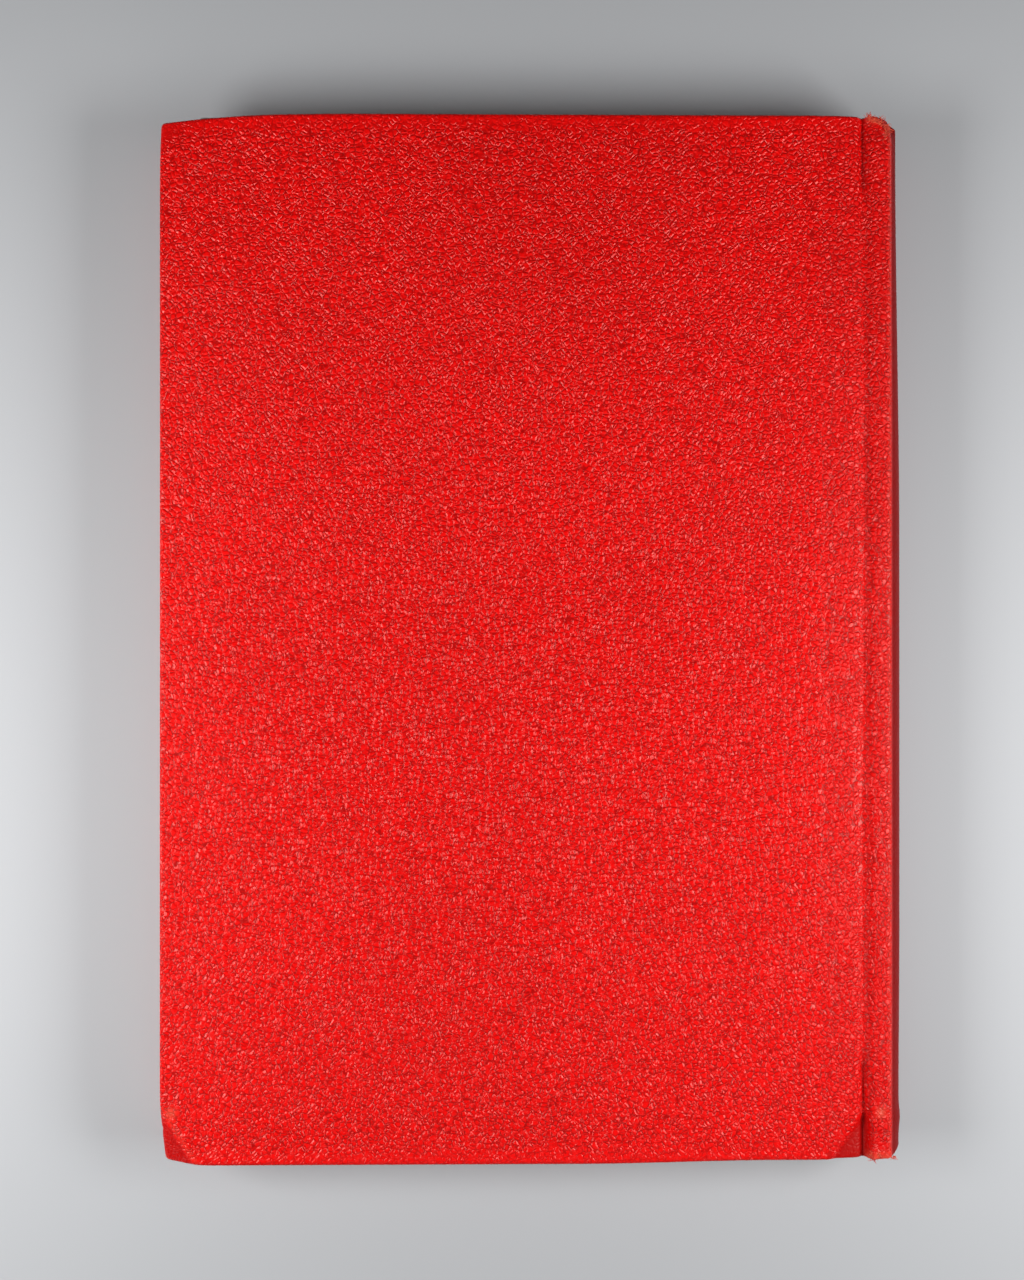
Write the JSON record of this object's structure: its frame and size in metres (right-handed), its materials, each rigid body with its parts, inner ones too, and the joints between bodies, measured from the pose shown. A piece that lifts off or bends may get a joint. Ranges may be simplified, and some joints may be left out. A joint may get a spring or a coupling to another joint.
{
  "type": "hardback notebook",
  "caption": "Case-bound notebook in grained leather over boards, with rounded spine, pressed joints, sewn sections and endpapers. Covers and leaves open.",
  "frame": {"origin": "middle of the footprint, on the surface that the front cover rests on", "axes": "+X from the fore-edge to the spine, +Y from tail to head, +Z from the front cover to the back cover"},
  "size_m": [0.1546, 0.216, 0.0153],
  "materials": {
    "leather": "pebble-grained red, soft sheen",
    "board": "dense greyboard, matt",
    "card": "manila card, matt",
    "endpaper": "cream endpaper, matt",
    "page": "cream writing paper, matt",
    "mull": "open-weave starched gauze",
    "thread": "waxed linen thread",
    "headband": "woven cotton bead, red and cream"
  },
  "bodies": {
    "book_block": {"section_1": "page", "section_2": "page", "section_3": "page", "section_4": "page", "section_5": "page", "section_6": "page", "section_7": "page", "section_8": "page", "sewing_thread": "thread", "spine_mull": "mull", "spine_lining": "card", "headband_head": "headband", "headband_tail": "headband", "spine_inlay": "card", "spine_leather": "leather", "back_joint_leather": "leather", "front_joint_leather": "leather"},
    "back_cover": {"back_board": "board", "back_cover_leather": "leather", "back_pastedown": "endpaper", "back_mull_flap": "mull"},
    "back_flyleaf": {"back_flyleaf": "endpaper"},
    "front_cover": {"front_board": "board", "front_cover_leather": "leather", "front_pastedown": "endpaper", "front_mull_flap": "mull"},
    "front_flyleaf": {"front_flyleaf": "endpaper"},
    "leaf_1": {"leaf_1": "page"},
    "leaf_2": {"leaf_2": "page"},
    "leaf_3": {"leaf_3": "page"},
    "leaf_4": {"leaf_4": "page"},
    "leaf_5": {"leaf_5": "page"},
    "leaf_6": {"leaf_6": "page"}
  },
  "joints": [
    {"name": "back_cover_hinge", "type": "hinge", "parent": "book_block", "child": "back_cover", "pos_m": [0.0686, 0, 0.012], "axis": [0, 1, 0], "range_deg": [0, 179], "deforming": ["back_joint_leather"]},
    {"name": "front_cover_hinge", "type": "hinge", "parent": "book_block", "child": "front_cover", "pos_m": [0.0686, 0, 0.0033], "axis": [0, -1, 0], "range_deg": [0, 179], "deforming": ["front_joint_leather"]},
    {"name": "back_flyleaf_turn", "type": "hinge", "parent": "book_block", "child": "back_flyleaf", "pos_m": [0.0673, 0, 0.01178], "axis": [0, 1, 0], "range_deg": [0, 116.35]},
    {"name": "front_flyleaf_turn", "type": "hinge", "parent": "book_block", "child": "front_flyleaf", "pos_m": [0.0673, 0, 0.00352], "axis": [0, -1, 0], "range_deg": [0, 116.35]},
    {"name": "leaf_1_turn", "type": "hinge", "parent": "book_block", "child": "leaf_1", "pos_m": [0.0673, 0, 0.0116], "axis": [0, 1, 0], "range_deg": [0, 102.92]},
    {"name": "leaf_2_turn", "type": "hinge", "parent": "book_block", "child": "leaf_2", "pos_m": [0.0673, 0, 0.01152], "axis": [0, 1, 0], "range_deg": [0, 89.5]},
    {"name": "leaf_3_turn", "type": "hinge", "parent": "book_block", "child": "leaf_3", "pos_m": [0.0673, 0, 0.01144], "axis": [0, 1, 0], "range_deg": [0, 76.08]},
    {"name": "leaf_4_turn", "type": "hinge", "parent": "book_block", "child": "leaf_4", "pos_m": [0.0673, 0, 0.01135], "axis": [0, 1, 0], "range_deg": [0, 62.65]},
    {"name": "leaf_5_turn", "type": "hinge", "parent": "book_block", "child": "leaf_5", "pos_m": [0.0673, 0, 0.01127], "axis": [0, 1, 0], "range_deg": [0, 49.23]},
    {"name": "leaf_6_turn", "type": "hinge", "parent": "book_block", "child": "leaf_6", "pos_m": [0.0673, 0, 0.01119], "axis": [0, 1, 0], "range_deg": [0, 35.8]}
  ],
  "couplings": [
    {"joint": "back_flyleaf_turn", "follows": "back_cover_hinge", "ratio": 0.65},
    {"joint": "front_flyleaf_turn", "follows": "front_cover_hinge", "ratio": 0.65},
    {"joint": "leaf_1_turn", "follows": "back_cover_hinge", "ratio": 0.575},
    {"joint": "leaf_2_turn", "follows": "back_cover_hinge", "ratio": 0.5},
    {"joint": "leaf_3_turn", "follows": "back_cover_hinge", "ratio": 0.425},
    {"joint": "leaf_4_turn", "follows": "back_cover_hinge", "ratio": 0.35},
    {"joint": "leaf_5_turn", "follows": "back_cover_hinge", "ratio": 0.275},
    {"joint": "leaf_6_turn", "follows": "back_cover_hinge", "ratio": 0.2}
  ]
}
